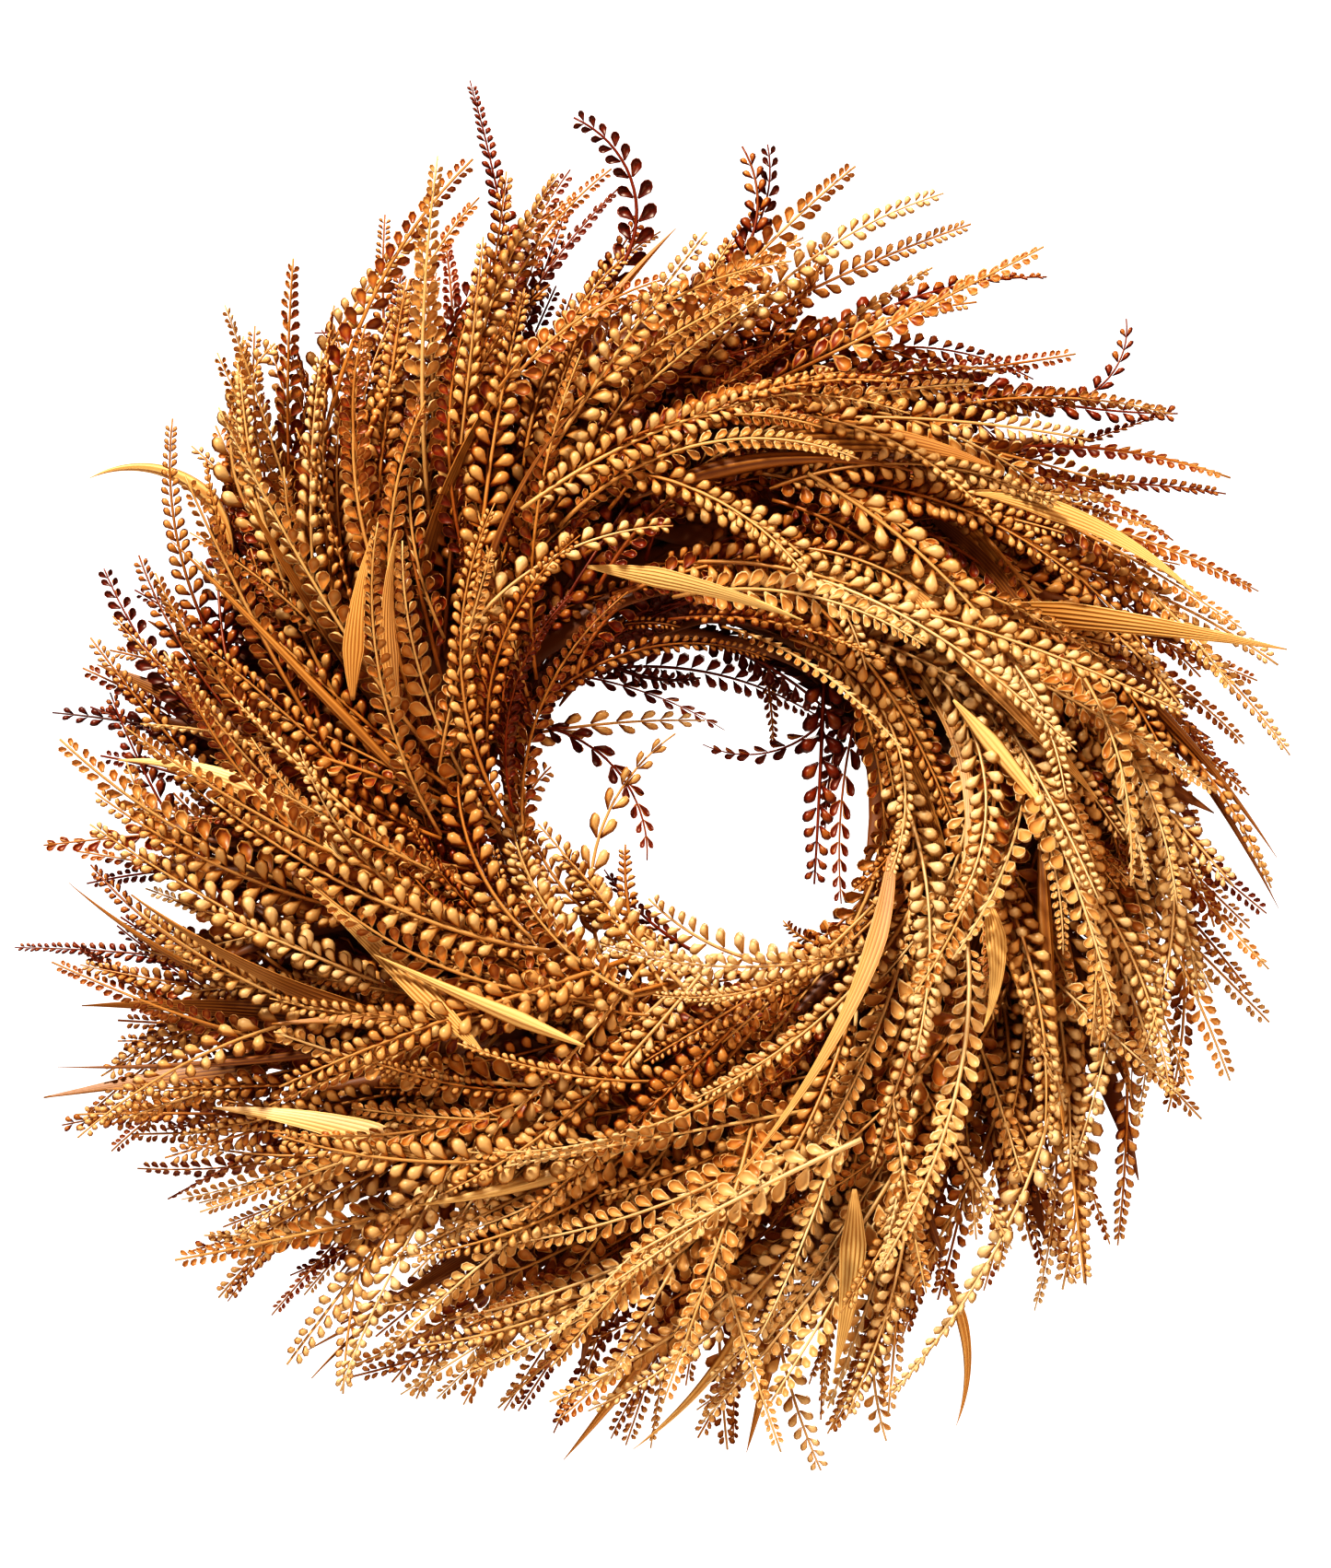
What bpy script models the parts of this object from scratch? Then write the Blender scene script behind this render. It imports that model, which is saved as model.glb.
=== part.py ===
"""Harvest door wreath: moulded seed-frond sprays and ribbed grass picks wired on a ring of twisted canes.

The wreath hangs upright: +Z is up and its front faces -Y, away from the door. The origin is the seat of
the hanging loop, in the nose of the tie wire behind the top of the ring. Every sub-part is made in the
ring's own frame, whose x runs right, y runs up and z comes out of the door, and is carried by one empty.
"""

from math import acos, cos, pi, radians, sin

import bpy
from mathutils import Vector

# Ring of canes
RING_RADIUS = 0.132
CANE_COUNT = 3
CANE_THICKNESS = 0.009
CANE_OFFSET = 0.0056
CANE_TWISTS = 4
CANE_POINTS = 48
CANE_BUTT_GAP = 0.003

# Paddle wire wound round the canes
WIRE_THICKNESS = 0.001
WIRE_WINDING_RADIUS = 0.0116
WIRE_TURNS = 16
WIRE_POINTS_PER_TURN = 10
WIRE_START_CLOCK = 9.0
WIRE_OPEN_TURNS = 0.5

# Tie wire that carries the hanging loop
TIE_THICKNESS = 0.0014
TIE_RADIUS = 0.0134
TIE_NOSE_RADIUS = 0.0030
TIE_NOSE_REACH = 0.0210
TIE_STEPS = 12
TIE_NOSE_STEPS = 6

# Hanging loop
LOOP_THICKNESS = 0.0020
LOOP_SEAT_RADIUS = 0.0060
LOOP_TOP_RADIUS = 0.0110
LOOP_CENTRES = 0.0190
LOOP_TOP_STEPS = 12
LOOP_SEAT_STEPS = 8

# Round sections: 0 gives four sides, 1 gives eight
ROUND_RESOLUTION = 1

# Sprays: every row is a pinwheel that turns clockwise seen from the front
SPRAY_POINTS = 10
SPRAY_PROFILE_POINTS = 8
STEM_SHARE = 0.07
FULLEST_EARLY = 0.80
BLUNTNESS = 0.85
FROND_FLATNESS = 0.30
GRASS_FLATNESS = 0.16
OUTER_REACH = 0.302
REACH_TO_LEFT = 0.016
REACH_TO_TOP = 0.008
REACH_UPRIGHT = 0.010
OUTER_TIP_LEAD = radians(20.0)

# Each row: how many picks, which of them are grass, where their stems leave the ring, how they run and
# how wide they are. Headings turn outwards from the clockwise tangent, pitches lift off the ring's plane.
OUTER_ROW = {
    "count": 18,
    "grass": (3, 9, 14),
    "clock_start": 0.2,
    "clock_span": 12.0,
    "radius": 0.1480,
    "height": -0.003,
    "heading": (44.0, 62.0),
    "pitch": (3.0, -4.0),
    "width": 0.043,
}
FRONT_ROW = {
    "count": 16,
    "grass": (1, 4, 9, 12),
    "clock_start": 0.6,
    "clock_span": 12.0,
    "radius": 0.132,
    "height": 0.0165,
    "heading": (34.0, -10.0),
    "pitch": (36.0, 20.0),
    "length": 0.176,
    "width": 0.046,
}
INNER_ROW = {
    "count": 9,
    "grass": (6,),
    "clock_start": 0.9,
    "clock_span": 12.0,
    "radius": 0.1160,
    "height": 0.004,
    "heading": (-32.0, -60.0),
    "pitch": (14.0, 8.0),
    "length": 0.112,
    "width": 0.030,
}
BACK_ROW = {
    "count": 6,
    "grass": (),
    "clock_start": 1.4,
    "clock_span": 10.0,
    "radius": 0.134,
    "height": -0.0175,
    "heading": (30.0, 62.0),
    "pitch": (-14.0, -4.0),
    "length": 0.150,
    "width": 0.040,
}

# Colours, as linear red, green and blue
FROND_COLOUR = (0.56, 0.27, 0.07)
GRASS_COLOUR = (0.74, 0.48, 0.17)
CANE_COLOUR = (0.23, 0.12, 0.05)
WIRE_COLOUR = (0.10, 0.08, 0.06)

CLOCK_HOURS = 12.0


def clear_scene():
    for thing in list(bpy.data.objects):
        bpy.data.objects.remove(thing, do_unlink=True)


def make_collection(name):
    collection = bpy.data.collections.new(name)
    bpy.context.scene.collection.children.link(collection)
    return collection


def make_material(name, colour, roughness, metallic=0.0):
    material = bpy.data.materials.new(name)
    material.use_nodes = True
    shader = material.node_tree.nodes["Principled BSDF"]
    shader.inputs["Base Color"].default_value = (*colour, 1.0)
    shader.inputs["Roughness"].default_value = roughness
    shader.inputs["Metallic"].default_value = metallic
    return material


def frond_plastic():
    return make_material("frond_plastic", FROND_COLOUR, 0.45)


def grass_plastic():
    return make_material("grass_plastic", GRASS_COLOUR, 0.50)


def cane_wood():
    return make_material("cane_wood", CANE_COLOUR, 0.75)


def dark_wire():
    return make_material("dark_wire", WIRE_COLOUR, 0.45, 0.9)


def clock_angle(hours):
    return 2.0 * pi * hours / CLOCK_HOURS


def outward(angle):
    return Vector((sin(angle), cos(angle), 0.0))


def clockwise(angle):
    return Vector((cos(angle), -sin(angle), 0.0))


def bundle_point(angle, around, offset):
    """A point at an offset from the ring's centre line, turned round it, at an angle of the clock."""
    radial = outward(angle) * (RING_RADIUS + offset * cos(around))
    return radial + Vector((0.0, 0.0, offset * sin(around)))


def curve_object(name, points, collection, parent, material, radii=None, closed=False):
    """A poly spline through the points, carried by the parent."""
    data = bpy.data.curves.new(name, "CURVE")
    data.dimensions = "3D"
    data.use_fill_caps = True
    spline = data.splines.new("POLY")
    spline.points.add(len(points) - 1)
    for index, point in enumerate(points):
        spline.points[index].co = (*point, 1.0)
        if radii:
            spline.points[index].radius = radii[index]
    spline.use_cyclic_u = closed
    data.materials.append(material)
    thing = bpy.data.objects.new(name, data)
    thing.parent = parent
    collection.objects.link(thing)
    return thing


def round_wire(name, points, thickness, collection, parent, material, closed=False):
    thing = curve_object(name, points, collection, parent, material, closed=closed)
    thing.data.bevel_depth = thickness / 2.0
    thing.data.bevel_resolution = ROUND_RESOLUTION
    return thing


def cane(index, collection, parent, material):
    """One cane, bent once round the ring and twisted with the others; its ends butt with a small gap."""
    start = clock_angle(CLOCK_HOURS * index / CANE_COUNT)
    phase = 2.0 * pi * index / CANE_COUNT
    sweep = 2.0 * pi - CANE_BUTT_GAP / RING_RADIUS
    points = []
    for step in range(CANE_POINTS):
        turn = sweep * step / (CANE_POINTS - 1)
        angle = start + turn
        points.append(bundle_point(angle, CANE_TWISTS * angle + phase, CANE_OFFSET))
    return round_wire(f"ring_cane_{index + 1}", points, CANE_THICKNESS, collection, parent, material)


def paddle_wire(collection, parent, material):
    """One long wire wound round the canes, which holds the stems of all the picks."""
    start = clock_angle(WIRE_START_CLOCK)
    sweep = 2.0 * pi * (1.0 - WIRE_OPEN_TURNS / WIRE_TURNS)
    steps = WIRE_TURNS * WIRE_POINTS_PER_TURN
    points = []
    for step in range(steps + 1):
        share = step / steps
        around = 2.0 * pi * WIRE_TURNS * share
        points.append(bundle_point(start + sweep * share, around, WIRE_WINDING_RADIUS))
    return round_wire("paddle_wire", points, WIRE_THICKNESS, collection, parent, material)


def belt_outline(big_radius, small_radius, centres, big_steps, small_steps):
    """A pear-shaped outline: a belt round a big circle at the start and a small one at centres along +u."""
    wrap = acos((big_radius - small_radius) / centres)
    outline = []
    for step in range(big_steps + 1):
        angle = wrap + (2.0 * pi - 2.0 * wrap) * step / big_steps
        outline.append((big_radius * cos(angle), big_radius * sin(angle)))
    for step in range(small_steps + 1):
        angle = -wrap + 2.0 * wrap * step / small_steps
        outline.append((centres + small_radius * cos(angle), small_radius * sin(angle)))
    return outline


def tie_wire(collection, parent, material):
    """A pear-shaped wire round the canes at twelve o'clock; its nose stands out behind them."""
    outline = belt_outline(TIE_RADIUS, TIE_NOSE_RADIUS, TIE_NOSE_REACH, TIE_STEPS, TIE_NOSE_STEPS)
    points = [Vector((0.0, RING_RADIUS + v, -u)) for u, v in outline]
    return round_wire("hanging_tie", points, TIE_THICKNESS, collection, parent, material, closed=True)


def hanging_loop(collection, seat, material):
    """The loop that goes over a door hook, hung down from the nose of the tie wire, its hinge."""
    outline = belt_outline(LOOP_TOP_RADIUS, LOOP_SEAT_RADIUS, LOOP_CENTRES, LOOP_TOP_STEPS, LOOP_SEAT_STEPS)
    drop = LOOP_CENTRES + LOOP_SEAT_RADIUS
    points = [Vector((v, u - drop, 0.0)) for u, v in outline]
    return round_wire("hanging_loop", points, LOOP_THICKNESS, collection, seat, material, closed=True)


def spray_profile(name, flatness, guides):
    """The flattened round section of a pick, one unit wide, which its radius scales."""
    data = bpy.data.curves.new(name, "CURVE")
    data.dimensions = "2D"
    data.fill_mode = "NONE"
    spline = data.splines.new("POLY")
    spline.points.add(SPRAY_PROFILE_POINTS - 1)
    for index in range(SPRAY_PROFILE_POINTS):
        turn = -2.0 * pi * (index + 0.5) / SPRAY_PROFILE_POINTS
        spline.points[index].co = (0.5 * cos(turn), 0.5 * flatness * sin(turn), 0.0, 1.0)
    spline.use_cyclic_u = True
    guide = bpy.data.objects.new(name, data)
    guide.hide_render = True
    guide.display_type = "WIRE"
    guides.objects.link(guide)
    return guide


def width_share(share):
    """How full a pick is along its length: a thin stem, a full middle and a pointed tip."""
    return max(STEM_SHARE, sin(pi * share**FULLEST_EARLY) ** BLUNTNESS)


def reach_at(angle):
    """How far from the ring's centre the outer tips come, at an angle of the clock."""
    sideways = OUTER_REACH - REACH_TO_LEFT * sin(angle)
    return sideways + REACH_TO_TOP * cos(angle) + REACH_UPRIGHT * cos(2.0 * angle)


def outer_length(row, angle):
    """The length that brings the tip of an outer pick out to the wreath's edge."""
    heading = radians(sum(row["heading"]) / 2.0)
    start = row["radius"]
    reach = reach_at(angle + OUTER_TIP_LEAD)
    across = start * cos(heading)
    return (reach**2 - across**2) ** 0.5 - start * sin(heading)


def spray_path(row, angle, length):
    """Points along a pick, from its stem at the ring, turning and lifting evenly up to its tip."""
    point = outward(angle) * row["radius"] + Vector((0.0, 0.0, row["height"]))
    along, out = clockwise(angle), outward(angle)
    step = length / (SPRAY_POINTS - 1)
    points = [point]
    for index in range(SPRAY_POINTS - 1):
        share = (index + 0.5) / (SPRAY_POINTS - 1)
        heading = radians(row["heading"][0] + (row["heading"][1] - row["heading"][0]) * share)
        pitch = radians(row["pitch"][0] + (row["pitch"][1] - row["pitch"][0]) * share)
        flat = along * cos(heading) + out * sin(heading)
        point = point + (flat * cos(pitch) + Vector((0.0, 0.0, sin(pitch)))) * step
        points.append(point)
    return points


def pick(name, row, angle, profile, collection, parent, material):
    """One pick: a curved, flattened, pointed body in the place that its fronds or blades fill."""
    length = row.get("length") or outer_length(row, angle)
    shares = [index / (SPRAY_POINTS - 1) for index in range(SPRAY_POINTS)]
    radii = [row["width"] * width_share(share) for share in shares]
    points = spray_path(row, angle, length)
    thing = curve_object(name, points, collection, parent, material, radii=radii)
    thing.data.twist_mode = "Z_UP"
    thing.data.bevel_mode = "OBJECT"
    thing.data.bevel_object = profile
    return thing


def pick_row(row_name, row, profiles, materials, collection, parent):
    for index in range(row["count"]):
        kind = "grass" if index in row["grass"] else "frond"
        hours = row["clock_start"] + row["clock_span"] * index / row["count"]
        name = f"{row_name}_{kind}_{index + 1:02d}"
        pick(name, row, clock_angle(hours), profiles[kind], collection, parent, materials[kind])


def carrier(name, location, turn, parent, collection):
    empty = bpy.data.objects.new(name, None)
    empty.location = location
    empty.rotation_euler = (turn, 0.0, 0.0)
    empty.parent = parent
    collection.objects.link(empty)
    return empty


def build_wreath():
    clear_scene()
    wreath = make_collection("harvest_door_wreath")
    guides = make_collection("profiles")
    ring = carrier("ring_frame", (0.0, -TIE_NOSE_REACH, -RING_RADIUS), pi / 2.0, None, wreath)
    seat = carrier("hanger_hinge", (0.0, RING_RADIUS, -TIE_NOSE_REACH), 0.0, ring, wreath)

    wood = cane_wood()
    for index in range(CANE_COUNT):
        cane(index, wreath, ring, wood)
    wire = dark_wire()
    paddle_wire(wreath, ring, wire)
    tie_wire(wreath, ring, wire)
    hanging_loop(wreath, seat, wire)

    profiles = {
        "frond": spray_profile("frond_profile", FROND_FLATNESS, guides),
        "grass": spray_profile("grass_profile", GRASS_FLATNESS, guides),
    }
    materials = {"frond": frond_plastic(), "grass": grass_plastic()}
    pick_row("outer", OUTER_ROW, profiles, materials, wreath, ring)
    pick_row("front", FRONT_ROW, profiles, materials, wreath, ring)
    pick_row("inner", INNER_ROW, profiles, materials, wreath, ring)
    pick_row("back", BACK_ROW, profiles, materials, wreath, ring)


build_wreath()
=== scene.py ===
import math
import random

import bmesh
import bpy
import numpy as np
from mathutils import Matrix, Vector


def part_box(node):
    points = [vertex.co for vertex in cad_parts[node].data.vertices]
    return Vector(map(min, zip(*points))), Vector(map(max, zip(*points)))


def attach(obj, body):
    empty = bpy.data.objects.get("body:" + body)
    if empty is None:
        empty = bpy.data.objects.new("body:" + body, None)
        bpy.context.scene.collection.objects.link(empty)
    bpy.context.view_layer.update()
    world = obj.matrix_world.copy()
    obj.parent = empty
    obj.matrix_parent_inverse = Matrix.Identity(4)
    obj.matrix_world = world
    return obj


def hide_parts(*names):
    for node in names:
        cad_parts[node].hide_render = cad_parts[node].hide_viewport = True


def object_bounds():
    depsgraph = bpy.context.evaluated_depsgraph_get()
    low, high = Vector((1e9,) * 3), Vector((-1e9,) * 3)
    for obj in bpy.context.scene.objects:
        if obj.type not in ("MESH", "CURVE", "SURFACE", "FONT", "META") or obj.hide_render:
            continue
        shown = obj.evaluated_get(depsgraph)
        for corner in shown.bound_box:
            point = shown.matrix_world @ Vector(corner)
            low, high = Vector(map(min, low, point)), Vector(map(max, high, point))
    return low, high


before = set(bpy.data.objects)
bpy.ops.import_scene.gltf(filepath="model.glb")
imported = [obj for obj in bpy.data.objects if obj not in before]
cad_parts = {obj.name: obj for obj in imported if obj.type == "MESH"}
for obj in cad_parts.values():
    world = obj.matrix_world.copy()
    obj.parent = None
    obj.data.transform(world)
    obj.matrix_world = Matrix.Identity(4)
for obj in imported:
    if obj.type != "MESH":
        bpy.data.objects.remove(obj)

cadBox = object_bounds()
print("frame loaded:", len(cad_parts), "nodes")

up = Vector((0.0, 0.0, 1.0))
front = Vector((0.0, -1.0, 0.0))


def caneBox():
    low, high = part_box("ring_cane_1")
    for number in (2, 3):
        lo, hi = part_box(f"ring_cane_{number}")
        low = Vector([min(a, b) for a, b in zip(low, lo)])
        high = Vector([max(a, b) for a, b in zip(high, hi)])
    return low, high


ringLow, ringHigh = caneBox()
ringCentre = (ringLow + ringHigh) / 2
bundleThickness = ringHigh.y - ringLow.y
ringRadius = (ringHigh.x - ringLow.x - bundleThickness) / 2


def outward(angle):
    return Vector((math.sin(angle), 0.0, math.cos(angle)))


def clockwise(angle):
    return Vector((math.cos(angle), 0.0, -math.sin(angle)))


def drawBetween(draw, pair):
    return draw.uniform(pair[0], pair[1])


def drawAbout(draw, reach):
    return draw.uniform(-reach, reach)


# camera and light

cameraSet = {
    "aim": (-0.012, 0.0, 0.004),
    "distance": 1.55,
    "elevation": -9.0,
    "azimuth": 0.0,
    "width": 0.612,
}

lightSet = {
    "key": {"place": (-0.80, -1.4, 1.45), "size": 0.36, "power": 57.5, "colour": (1.0, 0.99, 0.96)},
    "fill": {"place": (1.3, -1.6, 0.1), "size": 1.2, "power": 12.0, "colour": (1.0, 0.74, 0.50)},
    "rim": {"place": (0.5, 1.6, 1.0), "size": 1.2, "power": 44.0, "colour": (1.0, 0.96, 0.90)},
}


def makeCamera():
    aim = ringCentre + Vector(cameraSet["aim"])
    tilt = math.radians(cameraSet["elevation"])
    turn = math.radians(cameraSet["azimuth"])
    back = Vector((math.sin(turn) * math.cos(tilt), -math.cos(turn) * math.cos(tilt), math.sin(tilt)))
    data = bpy.data.cameras.new("studioCamera")
    data.sensor_fit = "HORIZONTAL"
    data.sensor_width = 36.0
    data.lens = data.sensor_width * cameraSet["distance"] / cameraSet["width"]
    data.clip_end = 60.0
    camera = bpy.data.objects.new("studioCamera", data)
    camera.location = aim + back * cameraSet["distance"]
    camera.rotation_euler = back.to_track_quat("Z", "Y").to_euler()
    bpy.context.scene.collection.objects.link(camera)
    bpy.context.scene.camera = camera


def makeLights():
    for name, light in lightSet.items():
        data = bpy.data.lights.new(name + "Light", "AREA")
        data.shape = "DISK"
        data.size = light["size"]
        data.energy = light["power"]
        data.color = light["colour"]
        lamp = bpy.data.objects.new(name + "Light", data)
        lamp.location = ringCentre + Vector(light["place"])
        lamp.rotation_euler = Vector(light["place"]).to_track_quat("Z", "Y").to_euler()
        bpy.context.scene.collection.objects.link(lamp)


worldSet = {"seen": (1.0, 1.0, 1.0), "lit": (1.0, 0.46, 0.22), "strength": 0.115}


def makeWorld():
    world = bpy.data.worlds.new("studio")
    world.use_nodes = True
    nodes, links = world.node_tree.nodes, world.node_tree.links
    seen = nodes["Background"]
    seen.inputs["Color"].default_value = (*worldSet["seen"], 1.0)
    lit = nodes.new("ShaderNodeBackground")
    lit.inputs["Color"].default_value = (*worldSet["lit"], 1.0)
    lit.inputs["Strength"].default_value = worldSet["strength"]
    path = nodes.new("ShaderNodeLightPath")
    mix = nodes.new("ShaderNodeMixShader")
    links.new(path.outputs["Is Camera Ray"], mix.inputs["Fac"])
    links.new(lit.outputs["Background"], mix.inputs[1])
    links.new(seen.outputs["Background"], mix.inputs[2])
    links.new(mix.outputs["Shader"], nodes["World Output"].inputs["Surface"])
    bpy.context.scene.world = world


floorSet = {"radius": 3.0, "drop": 1.1, "colour": (0.86, 0.85, 0.83), "roughness": 0.8}


def makeFloor():
    bm = bmesh.new()
    bmesh.ops.create_circle(bm, cap_ends=True, segments=64, radius=floorSet["radius"])
    bmesh.ops.translate(bm, verts=bm.verts[:], vec=(0.0, 0.0, ringCentre.z - floorSet["drop"]))
    mesh = bpy.data.meshes.new("studioFloor")
    bm.to_mesh(mesh)
    bm.free()
    floor = bpy.data.objects.new("studioFloor", mesh)
    bpy.context.scene.collection.objects.link(floor)
    material = bpy.data.materials.new("paleFloor")
    material.use_nodes = True
    shader = material.node_tree.nodes["Principled BSDF"]
    shader.inputs["Base Color"].default_value = (*floorSet["colour"], 1.0)
    shader.inputs["Roughness"].default_value = floorSet["roughness"]
    mesh.materials.append(material)


makeCamera()
makeLights()
makeWorld()
makeFloor()
bpy.context.scene.view_settings.view_transform = "Standard"
bpy.context.scene.view_settings.look = "High Contrast"
print("studio ready")


# materials


def newMaterial(name):
    material = bpy.data.materials.new(name)
    material.use_nodes = True
    nodes = material.node_tree.nodes
    return material, nodes, material.node_tree.links, nodes["Principled BSDF"]


def addRamp(nodes, stops):
    ramp = nodes.new("ShaderNodeValToRGB")
    while len(ramp.color_ramp.elements) < len(stops):
        ramp.color_ramp.elements.new(0.5)
    for element, (place, colour) in zip(ramp.color_ramp.elements, stops):
        element.position = place
        element.color = (*colour, 1.0)
    return ramp


def addNoise(nodes, links, scale, detail=2.0):
    place = nodes.new("ShaderNodeTexCoord")
    noise = nodes.new("ShaderNodeTexNoise")
    noise.inputs["Scale"].default_value = scale
    noise.inputs["Detail"].default_value = detail
    links.new(place.outputs["Object"], noise.inputs["Vector"])
    return noise


def addMath(nodes, links, operation, first, second):
    step = nodes.new("ShaderNodeMath")
    step.operation = operation
    for socket, value in zip(step.inputs, (first, second)):
        if isinstance(value, (int, float)):
            socket.default_value = value
        else:
            links.new(value, socket)
    return step.outputs[0]


def addScaled(nodes, links, value, share, base):
    # value times share, plus base
    result = addMath(nodes, links, "MULTIPLY_ADD", value, share)
    result.node.inputs[2].default_value = base
    return result


def addBump(nodes, links, height, shader, strength, distance):
    bump = nodes.new("ShaderNodeBump")
    bump.inputs["Strength"].default_value = strength
    bump.inputs["Distance"].default_value = distance
    links.new(height, bump.inputs["Height"])
    links.new(bump.outputs["Normal"], shader.inputs["Normal"])


def readAttribute(nodes, name):
    reader = nodes.new("ShaderNodeAttribute")
    reader.attribute_name = name
    return reader.outputs["Fac"]


frondFinish = {
    "stops": [
        (0.0, (0.090, 0.006, 0.001)),
        (0.28, (0.230, 0.024, 0.002)),
        (0.50, (0.510, 0.200, 0.034)),
        (0.74, (0.670, 0.395, 0.142)),
        (1.0, (0.800, 0.570, 0.290)),
    ],
    # painted shade, multiplied into each leaflet's cup by its hollow weight
    "hollowShadeTone": (0.92, 0.83, 0.70),
    "patches": {"scale": 22.0, "share": 0.22},
    "specks": {"scale": 420.0, "detail": 3.0, "share": 0.12},
    "rough": {"share": 0.20, "base": 0.30},
    "gloss": 0.50,
    "glossTint": (1.0, 0.88, 0.70),
}


def frondPlastic():
    material, nodes, links, shader = newMaterial("frondPlastic")
    patches, specks = frondFinish["patches"], frondFinish["specks"]
    patch = addNoise(nodes, links, patches["scale"])
    speck = addNoise(nodes, links, specks["scale"], specks["detail"])
    tone = addScaled(nodes, links, patch.outputs["Fac"], patches["share"], -patches["share"] / 2)
    # the tint attribute carries random tone plus the crown's painted light and shade; the shade attribute
    # adds the leaflets' painted light and shade
    tone = addMath(nodes, links, "ADD", tone, readAttribute(nodes, "tint"))
    grain = addScaled(nodes, links, speck.outputs["Fac"], specks["share"], -specks["share"] / 2)
    tone = addMath(nodes, links, "ADD", tone, grain)
    tone = addMath(nodes, links, "ADD", tone, readAttribute(nodes, "shade"))
    ramp = addRamp(nodes, frondFinish["stops"])
    links.new(tone, ramp.inputs["Fac"])
    # painted shade in the cups: the colour is multiplied by the hollow shade tone
    hollow = nodes.new("ShaderNodeMix")
    hollow.data_type = "RGBA"
    hollow.blend_type = "MULTIPLY"
    links.new(readAttribute(nodes, "hollow"), hollow.inputs["Factor"])
    links.new(ramp.outputs["Color"], hollow.inputs["A"])
    hollow.inputs["B"].default_value = (*frondFinish["hollowShadeTone"], 1.0)
    links.new(hollow.outputs["Result"], shader.inputs["Base Color"])
    rough = frondFinish["rough"]
    rough = addScaled(nodes, links, patch.outputs["Fac"], rough["share"], rough["base"])
    links.new(rough, shader.inputs["Roughness"])
    shader.inputs["Specular IOR Level"].default_value = frondFinish["gloss"]
    shader.inputs["Specular Tint"].default_value = (*frondFinish["glossTint"], 1.0)
    addBump(nodes, links, speck.outputs["Fac"], shader, 0.15, 0.0003)
    return material


grassFinish = {
    "stops": [
        (0.0, (0.200, 0.060, 0.008)),
        (0.4, (0.450, 0.180, 0.025)),
        (0.7, (0.690, 0.350, 0.092)),
        (0.95, (0.900, 0.610, 0.235)),
    ],
    "patches": {"scale": 35.0, "share": 0.24},
    # painted shade in the blades' grooves and painted light on their ridges
    "ribs": {"share": 0.26, "base": -0.16},
    "fibres": {"scale": 600.0, "share": 0.16},
    "roughness": 0.40,
}


def grassPlastic():
    material, nodes, links, shader = newMaterial("grassPlastic")
    patches, ribs, fibres = grassFinish["patches"], grassFinish["ribs"], grassFinish["fibres"]
    patch = addNoise(nodes, links, patches["scale"])
    tone = addScaled(nodes, links, patch.outputs["Fac"], patches["share"], -patches["share"] / 2)
    # the tint attribute carries random tone plus the crown's painted light and shade; the ribs add painted
    # shade in the grooves and painted light on the ridges
    tone = addMath(nodes, links, "ADD", tone, readAttribute(nodes, "tint"))
    ribLightAndShade = addScaled(nodes, links, readAttribute(nodes, "rib"), ribs["share"], ribs["base"])
    tone = addMath(nodes, links, "ADD", tone, ribLightAndShade)
    ramp = addRamp(nodes, grassFinish["stops"])
    links.new(tone, ramp.inputs["Fac"])
    links.new(ramp.outputs["Color"], shader.inputs["Base Color"])
    fibre = addNoise(nodes, links, fibres["scale"])
    rough = addScaled(nodes, links, fibre.outputs["Fac"], fibres["share"], grassFinish["roughness"])
    links.new(rough, shader.inputs["Roughness"])
    addBump(nodes, links, fibre.outputs["Fac"], shader, 0.12, 0.0002)
    return material


caneFinish = {
    "stops": [
        (0.25, (0.075, 0.032, 0.014)),
        (0.55, (0.210, 0.105, 0.045)),
        (0.8, (0.360, 0.210, 0.100)),
    ],
    "knots": {"scale": 90.0, "detail": 6.0, "distortion": 1.2},
    "roughness": 0.55,
}


def caneBark():
    material, nodes, links, shader = newMaterial("caneBark")
    knots = addNoise(nodes, links, caneFinish["knots"]["scale"], caneFinish["knots"]["detail"])
    knots.inputs["Distortion"].default_value = caneFinish["knots"]["distortion"]
    ramp = addRamp(nodes, caneFinish["stops"])
    links.new(knots.outputs["Fac"], ramp.inputs["Fac"])
    links.new(ramp.outputs["Color"], shader.inputs["Base Color"])
    rough = addScaled(nodes, links, knots.outputs["Fac"], 0.3, caneFinish["roughness"])
    links.new(rough, shader.inputs["Roughness"])
    addBump(nodes, links, knots.outputs["Fac"], shader, 0.6, 0.0008)
    return material


wireFinish = {
    "stops": [(0.3, (0.030, 0.024, 0.018)), (0.7, (0.110, 0.088, 0.066))],
    "scale": 260.0,
    "metallic": 0.85,
    "roughness": 0.3,
}


def darkWire():
    material, nodes, links, shader = newMaterial("darkWire")
    scale = addNoise(nodes, links, wireFinish["scale"], 4.0)
    ramp = addRamp(nodes, wireFinish["stops"])
    links.new(scale.outputs["Fac"], ramp.inputs["Fac"])
    links.new(ramp.outputs["Color"], shader.inputs["Base Color"])
    shader.inputs["Metallic"].default_value = wireFinish["metallic"]
    rough = addScaled(nodes, links, scale.outputs["Fac"], 0.3, wireFinish["roughness"])
    links.new(rough, shader.inputs["Roughness"])
    addBump(nodes, links, scale.outputs["Fac"], shader, 0.3, 0.0002)
    return material


finishes = {
    "frond_plastic": frondPlastic(),
    "grass_plastic": grassPlastic(),
    "cane_wood": caneBark(),
    "dark_wire": darkWire(),
}
print("finishes ready")


# moulded leaflets and fronds

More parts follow.
